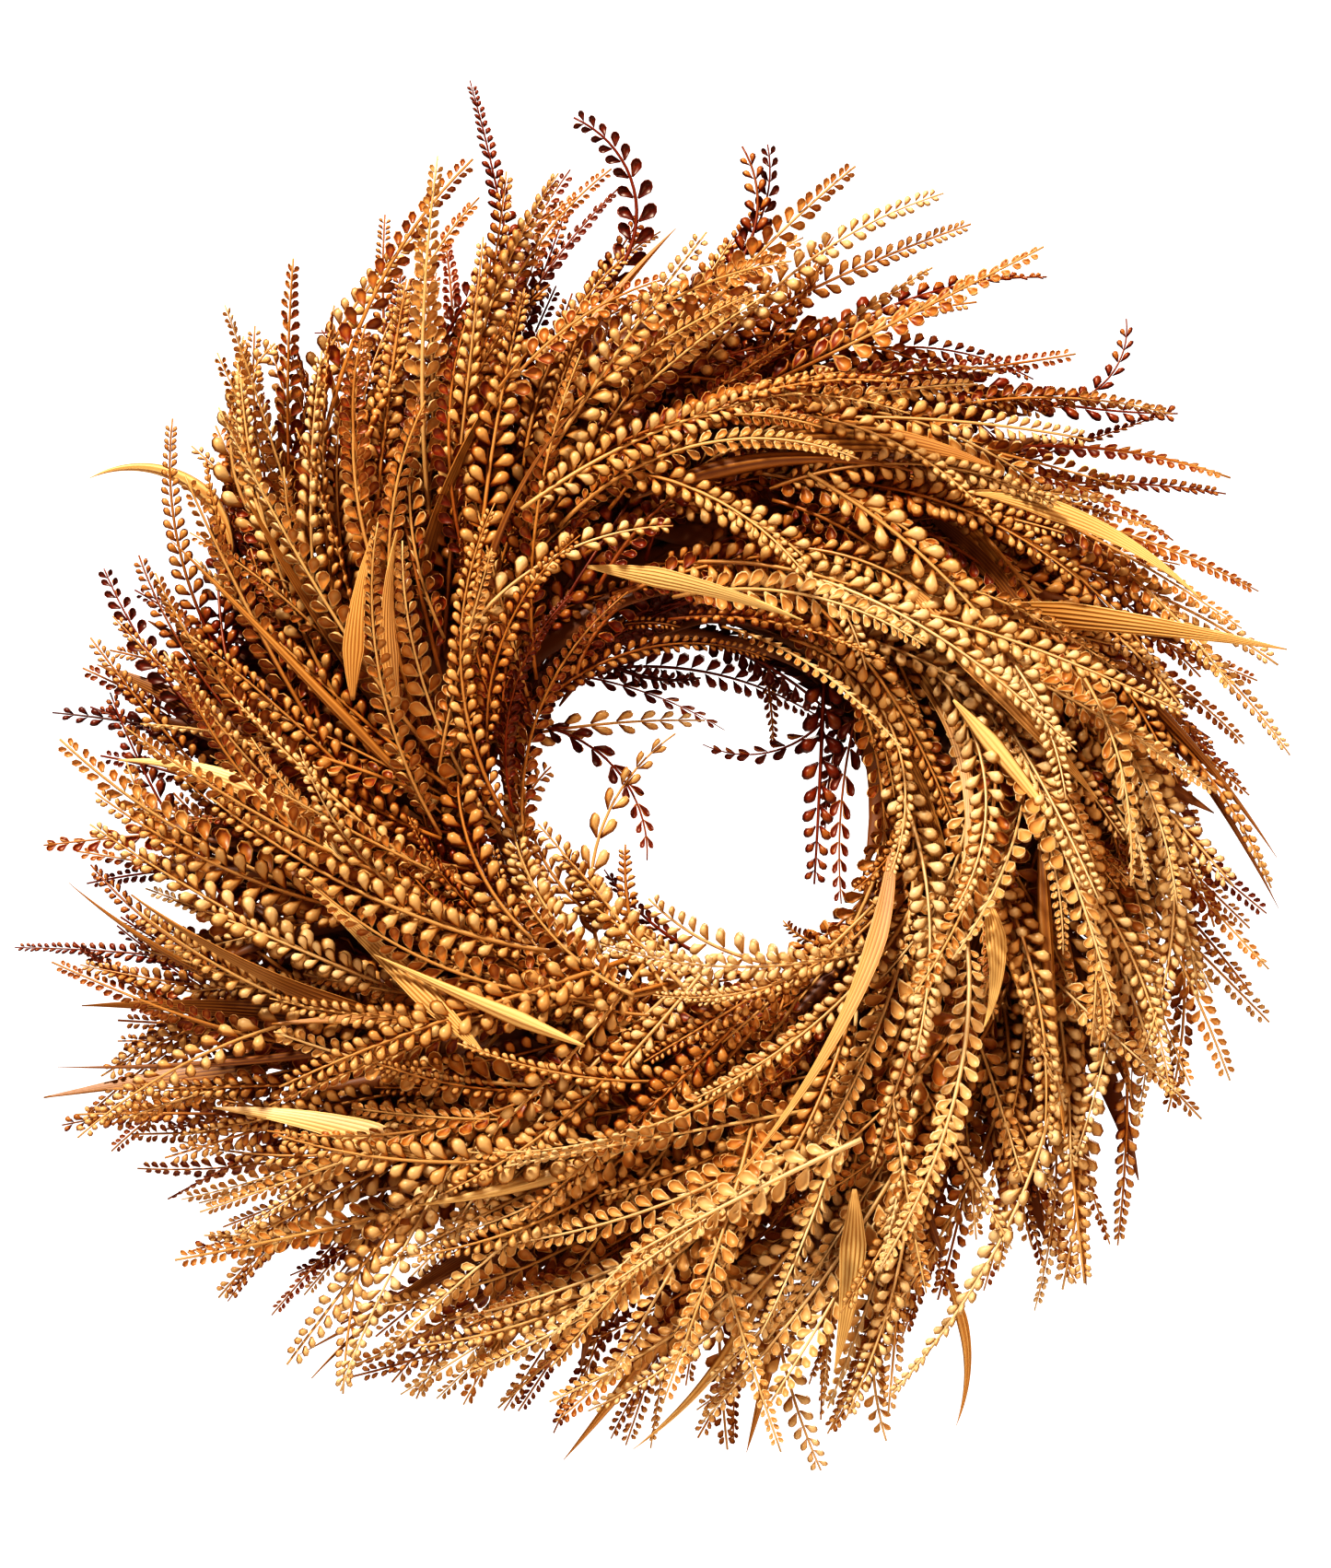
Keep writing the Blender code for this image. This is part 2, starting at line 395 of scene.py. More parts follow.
# in units of the leaflet's half length; shades are added to its tint and are painted light and shade: a
# lighter dome, a painted highlight on the lip, painted shade on the wall inside the cup and on the dome's
# edge
leafletShape = {
    "cut": -0.1,
    "rim": 0.15,
    "wallDepth": 0.30,
    "cupDepth": 0.62,
    "neck": 0.80,
    "neckPower": 6,
    "pinch": 0.52,
    "thinning": 0.35,
    "wallHollow": 0.6,
    "lipHighlight": 0.20,
    "wallShade": -0.26,
    "domeHighlight": 0.09,
    "domeEdgeShade": -0.28,
}


def addLayers(bm):
    for name in ("hollow", "shade", "tint", "rib"):
        bm.verts.layers.float.new(name)


def makeLeaflet(sides):
    # one seed leaflet: a domed back, a thin flat rim and a hollow face, drawn out to a neck at the stem
    bm = bmesh.new()
    addLayers(bm)
    hollow, shade = bm.verts.layers.float["hollow"], bm.verts.layers.float["shade"]
    bmesh.ops.create_uvsphere(bm, u_segments=sides, v_segments=4, radius=1.0)
    below = [v for v in bm.verts if v.co.z < leafletShape["cut"]]
    bmesh.ops.delete(bm, geom=below, context="VERTS")
    # painted light: the whole dome a little lighter, and a painted highlight on the lip
    for v in bm.verts:
        v[shade] = leafletShape["domeHighlight"]
    rim = [e for e in bm.edges if e.is_boundary]
    for e in rim:
        e.verts[0][shade] = e.verts[1][shade] = leafletShape["lipHighlight"]
    face = bmesh.ops.contextual_create(bm, geom=rim)["faces"][0]
    bmesh.ops.recalc_face_normals(bm, faces=bm.faces[:])
    bmesh.ops.inset_individual(bm, faces=[face], thickness=leafletShape["rim"], use_even_offset=True)
    # painted shade on the wall inside the cup; the hollow weight darkens the cup towards its middle
    for v in face.verts:
        v.co.z += leafletShape["wallDepth"]
        v[hollow] = leafletShape["wallHollow"]
        v[shade] = leafletShape["wallShade"]
    centre = bmesh.ops.poke(bm, faces=[face])["verts"][0]
    centre.co.z = leafletShape["cupDepth"]
    centre[hollow] = 1.0
    centre[shade] = 0.0
    for v in bm.verts:
        toNeck = max(0.0, -v.co.x)
        v.co.y *= 1.0 - leafletShape["pinch"] * toNeck**2
        v.co.z *= 1.0 - leafletShape["thinning"] * toNeck
        v.co.x -= leafletShape["neck"] * toNeck ** leafletShape["neckPower"]
        v.co.x += 1.0 + leafletShape["neck"]
    for f in bm.faces:
        f.smooth = True
    mesh = bpy.data.meshes.new("leaflet")
    bm.to_mesh(mesh)
    bm.free()
    return mesh


def appendMesh(bm, mesh, matrix, tint):
    # adds a copy of the mesh in its own place, and shades its tint
    layer = bm.verts.layers.float["tint"]
    start = len(bm.verts)
    bm.from_mesh(mesh)
    bm.verts.ensure_lookup_table()
    fresh = bm.verts[start:]
    bmesh.ops.transform(bm, matrix=matrix, verts=fresh)
    for v in fresh:
        v[layer] = tint


frondShapes = [
    {"length": 0.165, "bead": 0.0050, "plump": 0.72, "lean": 54, "fold": 6, "step": 1.82, "fine": 0.36},
    {"length": 0.180, "bead": 0.0047, "plump": 0.64, "lean": 48, "fold": 18, "step": 1.86, "fine": 0.32},
    {"length": 0.150, "bead": 0.0045, "plump": 0.78, "lean": 58, "fold": -6, "step": 1.88, "fine": 0.34},
    {"length": 0.170, "bead": 0.0042, "plump": 0.62, "lean": 46, "fold": 24, "step": 1.88, "fine": 0.36},
    {"length": 0.155, "bead": 0.0054, "plump": 0.68, "lean": 52, "fold": 10, "step": 1.84, "fine": 0.30},
    {"length": 0.160, "bead": 0.0038, "plump": 0.66, "lean": 50, "fold": 18, "step": 1.92, "fine": 0.40},
]

# shorter sprigs, for the loose ones
shortShapes = [
    {"length": 0.085, "bead": 0.0044, "plump": 0.68, "lean": 46, "fold": 34, "step": 2.35, "fine": 0.45},
    {"length": 0.110, "bead": 0.0050, "plump": 0.72, "lean": 48, "fold": 22, "step": 2.20, "fine": 0.42},
    {"length": 0.060, "bead": 0.0030, "plump": 0.70, "lean": 40, "fold": 40, "step": 1.90, "fine": 0.50},
]

# how a sprig's leaflets differ from one another, and how they change towards its tip
sprigHabit = {
    "turn": 7.0, "fold": 14.0, "nod": (-12.0, 8.0), "slip": 0.0005, "tint": 0.07, "leanLoss": 12.0,
    "start": 0.6, "swell": 4.0, "fineBelow": 0.0030, "bareTip": 0.004, "inset": 0.0004,
    "long": 0.85, "wide": 0.66,
}

stemShape = {"thick": 0.00120, "thin": 0.00045, "sides": 4, "rings": 20, "bare": 0.08, "plateau": 0.45}


def makeFrond(shape, seed, wide, fine):
    # a straight sprig along +X, domes towards +Z, seeds in pairs that shrink towards the tip
    draw = random.Random(seed)
    bm = bmesh.new()
    addLayers(bm)
    length = shape["length"]
    bmesh.ops.create_cone(
        bm, cap_ends=True, segments=stemShape["sides"], radius1=stemShape["thick"],
        radius2=stemShape["thin"], depth=length,
        matrix=Matrix.Translation((length / 2, 0.0, 0.0)) @ Matrix.Rotation(math.pi / 2, 4, "Y"))
    longEdges = [e for e in bm.edges if e.calc_length() > length / 2]
    bmesh.ops.subdivide_edges(bm, edges=longEdges, cuts=stemShape["rings"], use_grid_fill=True)
    for f in bm.faces:
        f.smooth = True
    x = length * stemShape["bare"]
    while x < length - sprigHabit["bareTip"]:
        along = x / length
        grow = min(1.0, sprigHabit["start"] + sprigHabit["swell"] * (along - stemShape["bare"]))
        fade = max(0.0, along - stemShape["plateau"]) / (1.0 - stemShape["plateau"])
        size = shape["bead"] * grow * (1.0 - (1.0 - shape["fine"]) * fade)
        leaflet = wide if size > sprigHabit["fineBelow"] else fine
        lean = math.radians(shape["lean"] - sprigHabit["leanLoss"] * along)
        for side in (-1.0, 1.0):
            turn = side * (lean + math.radians(drawAbout(draw, sprigHabit["turn"])))
            fold = side * math.radians(shape["fold"] + drawAbout(draw, sprigHabit["fold"]))
            nod = math.radians(drawBetween(draw, sprigHabit["nod"]))
            sizes = (size * sprigHabit["long"], size * sprigHabit["wide"], size * shape["plump"], 1.0)
            matrix = (
                Matrix.Translation((x + drawAbout(draw, sprigHabit["slip"]), side * sprigHabit["inset"], 0.0))
                @ Matrix.Rotation(turn, 4, "Z")
                @ Matrix.Rotation(nod, 4, "Y")
                @ Matrix.Rotation(fold, 4, "X")
                @ Matrix.Diagonal(sizes)
            )
            appendMesh(bm, leaflet, matrix, drawAbout(draw, sprigHabit["tint"]))
        x += size * shape["step"]
    mesh = bpy.data.meshes.new("frond")
    bm.to_mesh(mesh)
    bm.free()
    return mesh


def makeFronds(shapes, wideSides, fineSides):
    wide, fine = makeLeaflet(wideSides), makeLeaflet(fineSides)
    fronds = []
    for number, shape in enumerate(shapes):
        fronds.append((shape["length"], makeFrond(shape, 40 + number, wide, fine)))
    return fronds


fullFronds = makeFronds(frondShapes, 10, 7)
plainFronds = makeFronds(frondShapes, 7, 6)
shortFronds = makeFronds(shortShapes, 10, 8)
print("frond models:", [len(mesh.polygons) for _, mesh in fullFronds + plainFronds])

# a strip with ribs along it, arched across; grid counts are across and along
bladeShapes = {
    "ribbed": {"length": 0.18, "width": 0.013, "ribs": 6, "depth": 0.0010, "arch": 0.0022, "grid": (12, 30)},
    "folded": {"length": 0.19, "width": 0.009, "ribs": 3, "depth": 0.0007, "arch": 0.0034, "grid": (8, 30)},
    "shadeLining": {"length": 0.17, "width": 0.022, "ribs": 2, "depth": 0.0008, "arch": 0.0030, "grid": (4, 9)},
}

bladeTaper = {"foot": 0.10, "swell": 3.0, "shoulder": 0.35, "tip": 0.02, "power": 0.8, "archPower": 1.5}
bladeThickness = 0.0004


def makeBlade(shape):
    # a straight ribbed blade along +X, hollow on its back and pointed at both ends
    bm = bmesh.new()
    addLayers(bm)
    rib = bm.verts.layers.float["rib"]
    across, along = shape["grid"]
    bmesh.ops.create_grid(bm, x_segments=along, y_segments=across, size=0.5)
    for v in bm.verts:
        v.co.x += 0.5
        wave = math.cos(2.0 * math.pi * v.co.y * shape["ribs"])
        v[rib] = wave
        swell = min(1.0, bladeTaper["foot"] + bladeTaper["swell"] * v.co.x)
        shoulder = bladeTaper["shoulder"]
        narrow = max(bladeTaper["tip"], 1.0 - max(0.0, v.co.x - shoulder) / (1.0 - shoulder))
        full = swell ** bladeTaper["power"] * narrow ** bladeTaper["power"]
        arch = abs(2.0 * v.co.y) ** bladeTaper["archPower"]
        v.co.y *= full * shape["width"]
        v.co.z = shape["depth"] * wave * full - shape["arch"] * arch * full
        v.co.x *= shape["length"]
    bmesh.ops.recalc_face_normals(bm, faces=bm.faces[:])
    bmesh.ops.solidify(bm, geom=bm.faces[:], thickness=bladeThickness)
    for f in bm.faces:
        f.smooth = True
    mesh = bpy.data.meshes.new("blade")
    bm.to_mesh(mesh)
    bm.free()
    return mesh


bladeModels = {kind: (shape["length"], makeBlade(shape)) for kind, shape in bladeShapes.items()}


# routes and bending

routePoints = 28


def clockOf(point):
    return math.atan2(point.x - ringCentre.x, point.z - ringCentre.z)


def sweepRoute(start, heading, pitch, length, droop, follow):
    # places along a sprig: headings turn out from the clockwise tangent, pitches lift to the front, and
    # follow says how much of the ring's own turning the sprig takes on
    places, point = [start.copy()], start.copy()
    base = clockOf(start)
    step = length / (routePoints - 1)
    for index in range(routePoints - 1):
        share = (index + 0.5) / (routePoints - 1)
        turn = math.radians(heading[0] + (heading[1] - heading[0]) * share)
        lift = math.radians(pitch[0] + (pitch[1] - pitch[0]) * share)
        swept = (clockOf(point) - base + math.pi) % (2.0 * math.pi) - math.pi
        angle = base + follow * swept
        flat = clockwise(angle) * math.cos(turn) + outward(angle) * math.sin(turn)
        way = flat * math.cos(lift) + front * math.sin(lift) - up * droop * share**1.6
        point = point + way.normalized() * step
        places.append(point)
    return np.array(places)


def carriedFrames(places, roll, twist):
    # a side and a face at every place, turned as little as possible along the route
    ways = np.gradient(places, axis=0)
    ways /= np.linalg.norm(ways, axis=1)[:, None]
    face = np.array(front)
    faces = []
    for way in ways:
        face = face - way * face.dot(way)
        face = face / np.linalg.norm(face)
        faces.append(face)
    faces = np.array(faces)
    sides = np.cross(faces, ways)
    turn = roll + twist * np.linspace(0.0, 1.0, len(places))[:, None]
    turned = faces * np.cos(turn) + sides * np.sin(turn)
    return np.cross(turned, ways), turned


# painted light and shade over the wreath: heights of the crown and of the darkest floor at radii out from the
# ring's middle, and how much they tell
crownShade = {
    "crown": ((0.10, 0.15, 0.28), (0.064, 0.080, 0.020)),
    "floor": ((0.06, 0.10, 0.15, 0.27), (0.3, -0.3, -0.3, 0.4)),
    "depth": 0.46,
    "even": 0.60,
    "slant": 0.09,
    "least": 0.05,
}


def crownLightAndShade(places):
    # painted light on the crown of the wreath and to its lower right, and painted shade that makes it browner
    # down inside it
    across = places[:, 0] - ringCentre.x
    rise = places[:, 2] - ringCentre.z
    radii = np.hypot(across, rise)
    crown = np.interp(radii, *crownShade["crown"])
    floor = np.interp(radii, *crownShade["floor"])
    height = np.clip((ringCentre.y - places[:, 1]) / crown, floor, 1.0)
    slant = (across - rise) / radii.clip(crownShade["least"])
    return crownShade["depth"] * (height - crownShade["even"]) + crownShade["slant"] * slant


def bendOnto(bm, model, places, roll, twist, spread, tint):
    # lays a straight sprig or blade along the route and adds it to the piece
    modelLength, source = model
    mesh = source.copy()
    count = len(mesh.vertices)
    flat = np.empty(count * 3, np.float32)
    mesh.vertices.foreach_get("co", flat)
    shape = flat.reshape(-1, 3).astype(float)
    sides, faces = carriedFrames(places, roll, twist)
    share = np.clip(shape[:, 0] / modelLength, 0.0, 1.0) * (len(places) - 1)
    low = np.minimum(share.astype(int), len(places) - 2)
    part = (share - low)[:, None]
    blend = [row[low] * (1.0 - part) + row[low + 1] * part for row in (places, sides, faces)]
    bent = blend[0] + blend[1] * shape[:, 1:2] * spread + blend[2] * shape[:, 2:3] * spread
    mesh.vertices.foreach_set("co", bent.astype(np.float32).ravel())
    if math.cos(roll) > 0.0:
        # painted shade: a leaflet seen from its domed back gets a dark edge in place of the lip's painted
        # highlight
        shades = np.empty(count, np.float32)
        mesh.attributes["shade"].data.foreach_get("value", shades)
        lip = (leafletShape["domeHighlight"] + leafletShape["lipHighlight"]) / 2
        shades[shades > lip] = leafletShape["domeEdgeShade"]
        mesh.attributes["shade"].data.foreach_set("value", shades)
    # the tint attribute takes the crown's painted light and shade on top of the random tone
    tints = np.empty(count, np.float32)
    mesh.attributes["tint"].data.foreach_get("value", tints)
    mesh.attributes["tint"].data.foreach_set("value", (tints + tint + crownLightAndShade(bent)).astype(np.float32))
    bm.from_mesh(mesh)
    bpy.data.meshes.remove(mesh)


# the picks

rowFill = {
    "outer": {
        "sprigs": 15, "plain": 0.65, "spread": 13.0, "radius": (-0.006, 0.072), "depth": (-0.014, 0.030),
        "heading": (16.0, 66.0), "turn": (-50.0, 36.0), "pitch": (-12.0, 26.0), "settle": (-24.0, 4.0),
        "scale": (0.86, 1.20), "droop": (0.03, 0.30), "follow": (0.0, 0.5), "tone": (0.38, 0.70),
    },
    "front": {
        "sprigs": 16, "plain": 0.2, "spread": 14.0, "radius": (-0.050, 0.044), "depth": (0.004, 0.044),
        "heading": (0.0, 54.0), "turn": (-40.0, 20.0), "pitch": (4.0, 34.0), "settle": (-36.0, -8.0),
        "scale": (0.82, 1.10), "droop": (0.03, 0.28), "follow": (0.2, 0.7), "tone": (0.42, 0.78),
    },
    "inner": {
        "sprigs": 17, "plain": 0.90, "spread": 22.0, "radius": (-0.050, -0.010), "depth": (-0.024, 0.046),
        "heading": (-36.0, 36.0), "turn": (-34.0, 30.0), "pitch": (-12.0, 26.0), "settle": (-30.0, 10.0),
        "scale": (0.62, 0.92), "droop": (0.0, 0.22), "follow": (0.35, 1.0), "tone": (0.36, 0.70),
    },
    "back": {
        "sprigs": 11, "plain": 1.0, "spread": 30.0, "radius": (0.010, 0.034), "depth": (-0.012, 0.004),
        "heading": (6.0, 66.0), "turn": (-8.0, 24.0), "pitch": (-14.0, 2.0), "settle": (0.0, 10.0),
        "scale": (0.80, 1.08), "droop": (0.05, 0.30), "follow": (0.1, 0.6), "tone": (0.40, 0.60),
    },
}

# some sprigs stray from the sweep
strayShare, strayTurn = 0.38, 34.0

# by its own weight a sprig opens out on the lower left of the ring and lies along it on the upper right
sagTurn, sagClock = 20.0, math.radians(210.0)

# how far a sprig rolls to either side and twists along its length, in degrees
sprigRoll, sprigTwist = 40.0, 50.0

grassFill = {
    "blades": 5, "eyeBlades": 2, "ribbed": 0.5, "length": (0.7, 1.05), "roll": 50.0, "twist": 80.0,
    "width": (0.50, 0.95), "tone": (0.12, 0.60),
}

# painted shade: dark blades that fill the gaps between the sprigs, in four bands
shadeLiningFill = {
    "low among the stems": {
        "blades": 210, "radius": (-0.036, 0.006), "depth": (0.010, 0.018), "heading": (-6.0, 60.0),
        "turn": (-10.0, 24.0), "length": (0.09, 0.140), "follow": (0.2, 0.95), "shift": 0.0, "width": 0.8,
    },
    "round the eye": {
        "blades": 140, "radius": (-0.049, -0.022), "depth": (-0.010, 0.008), "heading": (-6.0, 8.0),
        "turn": (-12.0, 12.0), "length": (0.05, 0.085), "follow": (0.8, 1.0), "shift": 1.0, "width": 0.26,
    },
    "behind the outer sprigs": {
        "blades": 150, "radius": (0.020, 0.070), "depth": (-0.006, 0.012), "heading": (24.0, 66.0),
        "turn": (-20.0, 20.0), "length": (0.05, 0.085), "follow": (0.1, 0.6), "shift": 0.0, "width": 0.5,
    },
    "inside the canes": {
        "blades": 130, "radius": (-0.034, -0.012), "depth": (-0.006, 0.012), "heading": (-4.0, 22.0),
        "turn": (-6.0, 10.0), "length": (0.06, 0.095), "follow": (0.8, 1.0), "shift": 0.5, "width": 0.5,
    },
}

# the lining's tones are low, for painted shade
shadeLiningHabit = {"tone": (-0.12, 0.04), "pitch": (-4.0, 12.0), "droop": 0.05, "turn": 30.0}

# what stands out of the rows, one line each: clock hour, radius and height of the stem's foot, heading, turn
# and lift in degrees, length, which model, its width and its tone
looseBlades = {
    "bright blade over the eye": (11.1, 0.103, 0.064, -35, -15, 6, 0.100, "ribbed", 0.70, 1.00),
    "broad pleated blade": (1.6, 0.127, 0.062, 0, -5, 6, 0.130, "ribbed", 1.10, 0.50),
    "pale blade beside it": (2.5, 0.119, 0.068, 25, -5, 3, 0.080, "folded", 0.90, 0.85),
    "pale blade at two": (1.5, 0.180, 0.056, 40, -40, -4, 0.115, "ribbed", 0.72, 0.82),
    "brown ribbed blade at twelve": (0.3, 0.152, 0.056, 20, -35, 3, 0.115, "ribbed", 1.20, 0.42),
    "brown thin blade at twelve": (11.6, 0.129, 0.050, 15, -45, 2, 0.135, "folded", 1.00, 0.38),
    "pale blade at nine": (8.5, 0.158, 0.066, 25, 50, -10, 0.120, "ribbed", 0.90, 0.92),
    "upright blade": (9.4, 0.154, 0.060, 15, -20, 10, 0.075, "ribbed", 0.75, 0.68),
    "upright blade beside it": (9.4, 0.133, 0.062, 25, -25, 10, 0.080, "ribbed", 0.65, 0.74),
    "sliver under the eye": (6.7, 0.131, 0.072, 0, -5, 0, 0.100, "folded", 0.80, 0.88),
    "ribbed blade at seven": (7.1, 0.203, 0.048, 10, 20, -6, 0.105, "ribbed", 1.00, 0.82),
    "long pale blade at six": (6.3, 0.165, 0.060, 35, -20, -2, 0.100, "folded", 0.90, 0.88),
    "brown tip at eight": (7.8, 0.208, 0.020, 60, 5, -4, 0.125, "ribbed", 0.80, 0.45),
    "brown tip at nine": (9.2, 0.201, 0.030, 65, 10, -7, 0.080, "ribbed", 0.80, 0.32),
    "bent tip at ten": (9.9, 0.236, 0.025, 35, 110, 6, 0.085, "folded", 0.90, 0.85),
    "long tip at six": (6.0, 0.226, 0.010, 55, -5, -6, 0.095, "folded", 0.80, 0.70),
    "pale tip at six": (5.7, 0.222, 0.020, 60, -35, -6, 0.100, "folded", 0.70, 0.92),
    "short tip at six": (5.7, 0.242, 0.010, 70, -5, 0, 0.060, "folded", 0.60, 0.60),
    "tip at five": (5.1, 0.246, 0.020, 95, -55, -8, 0.070, "folded", 0.60, 0.66),
    "ribbed blade at four": (3.8, 0.139, 0.072, 45, -45, 2, 0.060, "ribbed", 0.70, 0.74),
    "blade at seven": (7.2, 0.155, 0.068, -10, 5, -2, 0.115, "ribbed", 0.80, 0.78),
    "blade at five": (5.3, 0.196, 0.054, 70, -15, -6, 0.080, "ribbed", 0.90, 0.72),
    "blade at eleven": (11.1, 0.175, 0.046, 35, -15, -4, 0.125, "folded", 0.90, 0.50),
}

# the low tones of the dark sprigs at nine to twelve and at the top of the eye are painted shade, for fronds
# turned from the light
looseSprigs = {
    "shaded upright at eleven": (11.3, 0.219, 0.020, 75, 10, 4, 0.130, "mid", 0.9, 0.12, "dome"),
    "shaded hook at twelve": (11.6, 0.230, 0.030, 20, 125, 5, 0.105, "short", 1.0, 0.16, "cup"),
    "tip at twelve": (0.0, 0.230, 0.010, 25, 95, 0, 0.090, "tip", 1.0, 0.44, "dome"),
    "thin tip at twelve": (11.8, 0.234, 0.000, -5, 100, 5, 0.110, "short", 0.8, 0.34, "cup"),
    "curl at ten": (10.0, 0.204, 0.020, 95, -115, 14, 0.120, "short", 1.0, 0.66, "dome"),
    "upright at ten": (10.1, 0.203, 0.010, 45, 5, 6, 0.100, "short", 1.0, 0.60, "dome"),
    "shaded upright at ten": (10.1, 0.199, 0.000, 35, 20, 0, 0.105, "short", 0.9, 0.18, "cup"),
    "thin upright at eleven": (10.6, 0.200, 0.010, 60, -15, 0, 0.125, "small", 0.9, 0.56, "dome"),
    "thin bent at eleven": (10.7, 0.200, 0.000, 35, 110, 0, 0.095, "tip", 0.8, 0.46, "cup"),
    "twig at one": (1.3, 0.240, 0.000, 15, 120, 0, 0.080, "tip", 0.8, 0.38, "dome"),
    "level at one": (1.0, 0.227, 0.010, 10, 20, 0, 0.115, "short", 0.9, 0.34, "dome"),
    "shaded fern at nine": (9.2, 0.218, 0.030, 50, -20, -6, 0.095, "short", 0.9, 0.18, "cup"),
    "thin shaded at nine": (9.2, 0.210, 0.000, 80, 10, -6, 0.090, "tip", 0.8, 0.20, "dome"),
    "longest at eight": (8.2, 0.205, 0.000, 55, 10, -5, 0.125, "small", 0.8, 0.40, "dome"),
    "level at nine": (8.8, 0.177, 0.020, 85, 5, -5, 0.120, "short", 1.0, 0.56, "cup"),
    "level at eight": (7.8, 0.225, 0.000, 65, 0, 0, 0.105, "short", 0.9, 0.52, "dome"),
    "level at seven": (7.2, 0.252, 0.000, 25, 30, 0, 0.080, "tip", 1.0, 0.52, "dome"),
    "longest at six": (5.7, 0.218, 0.010, 85, 20, 5, 0.093, "short", 0.9, 0.58, "dome"),
    "hanging at five": (5.3, 0.234, 0.010, 55, 30, 8, 0.075, "tip", 1.0, 0.54, "cup"),
    "arc into the eye": (9.7, 0.087, 0.006, -69, -93, 3, 0.099, "tip", 0.80, 0.46, "cup"),
    "level in the eye": (9.4, 0.103, 0.000, -64, -16, 3, 0.108, "tip", 0.85, 0.96, "dome"),
    "rising in the eye": (6.8, 0.093, 0.010, -41, -81, 3, 0.124, "tip", 0.90, 0.86, "dome"),
    "thin one in the eye": (10.4, 0.086, -0.008, -54, -27, 4, 0.085, "tip", 0.55, 0.48, "cup"),
    "dark under arc": (1.8, 0.087, -0.004, -53, -98, 4, 0.081, "tip", 0.75, 0.36, "cup"),
    "hanging in the eye": (1.3, 0.098, 0.010, -53, -2, 3, 0.121, "short", 1.10, 0.30, "dome"),
    "hanging beside it": (1.7, 0.112, 0.012, -61, 26, 3, 0.127, "short", 0.70, 0.42, "cup"),
    "hanging behind it": (2.0, 0.084, 0.002, -50, 18, 4, 0.063, "bud", 1.00, 0.26, "dome"),
    "small hanging": (0.9, 0.074, -0.008, -53, -9, 5, 0.045, "bud", 0.70, 0.60, "cup"),
    "shaded at the eye's top": (10.9, 0.076, -0.008, -66, 43, 5, 0.048, "bud", 1.10, 0.24, "dome"),
    "shaded at the eye's top right": (0.4, 0.071, -0.004, -4, -49, 5, 0.044, "bud", 1.20, 0.20, "dome"),
    "small at the eye's foot": (6.7, 0.073, 0.008, -55, -17, 8, 0.043, "bud", 1.00, 0.66, "dome"),
    "dark twig at the foot": (6.0, 0.073, 0.002, -28, -29, 4, 0.055, "bud", 0.80, 0.34, "cup"),
    "along the eye's foot": (4.8, 0.102, 0.022, -32, -50, 1, 0.088, "short", 1.10, 0.84, "dome"),
    "first rising at the eye's left": (6.5, 0.094, 0.030, -54, 22, -3, 0.086, "short", 0.95, 0.80, "dome"),
    "second rising at the left": (6.2, 0.098, 0.034, -55, 15, -3, 0.082, "short", 1.00, 0.74, "dome"),
    "third rising at the left": (6.6, 0.098, 0.036, -16, -39, -4, 0.084, "short", 1.00, 0.84, "dome"),
    "low one at the left": (6.0, 0.098, 0.036, -51, 16, -4, 0.060, "tip", 1.10, 0.72, "cup"),
    "outer one at the left": (6.9, 0.095, 0.034, -13, -48, -6, 0.093, "short", 0.95, 0.82, "dome"),
    "lowest at the eye's foot": (5.7, 0.101, 0.036, -50, 3, -2, 0.051, "bud", 1.30, 0.80, "dome"),
    "broad one at the left": (6.5, 0.101, 0.044, -10, -35, -3, 0.069, "short", 1.00, 0.66, "cup"),
    "tall one at the left": (7.4, 0.082, 0.026, 15, -111, -7, 0.084, "short", 1.00, 0.80, "dome"),
    "tip at the eye's left": (6.9, 0.073, 0.016, 3, -55, 3, 0.069, "bud", 1.10, 0.74, "dome"),
    "lower tip at the left": (6.7, 0.078, 0.022, -22, -26, 2, 0.054, "bud", 1.20, 0.66, "dome"),
    "upper tip at the left": (8.4, 0.075, 0.012, 34, -107, -3, 0.046, "bud", 1.20, 0.70, "dome"),
    "tip at the right foot": (4.5, 0.099, 0.002, -33, -64, 4, 0.032, "bud", 0.90, 0.70, "cup"),
    "big from one to three": (0.7, 0.144, 0.064, -10, -35, 4, 0.170, "big", 0.92, 0.60, "dome"),
    "big upright at ten": (10.3, 0.124, 0.062, 35, -10, 8, 0.140, "big", 0.95, 0.54, "dome"),
    "pale from eleven to one": (10.9, 0.140, 0.066, 5, -30, 1, 0.140, "wide", 0.9, 0.72, "dome"),
    "pale at ten": (10.0, 0.118, 0.066, -5, -55, 5, 0.110, "short", 1.0, 0.74, "dome"),
    "pale at seven": (5.2, 0.178, 0.076, 0, 5, -3, 0.110, "short", 1.1, 0.78, "cup"),
}

looseModels = {
    "wide": fullFronds[0], "big": fullFronds[4], "mid": fullFronds[3], "small": fullFronds[5],
    "tip": shortFronds[0], "short": shortFronds[1], "bud": shortFronds[2],
}

# the open eye sits a little low in the ring
clearEye = (0.077, 0.067)
eyeShift = Vector((0.006, 0.0, -0.013))
# how far the rows reach from the middle, hour by hour from twelve; only loose sprigs go further
rowReach = {
    "middle": (-0.012, 0.004),
    "hours": (0.302, 0.303, 0.308, 0.308, 0.292, 0.300, 0.306, 0.312, 0.306, 0.271, 0.273, 0.294, 0.302),
}
routeMargin = np.array((-0.002, 0.004, 0.000))
routeTries = 60


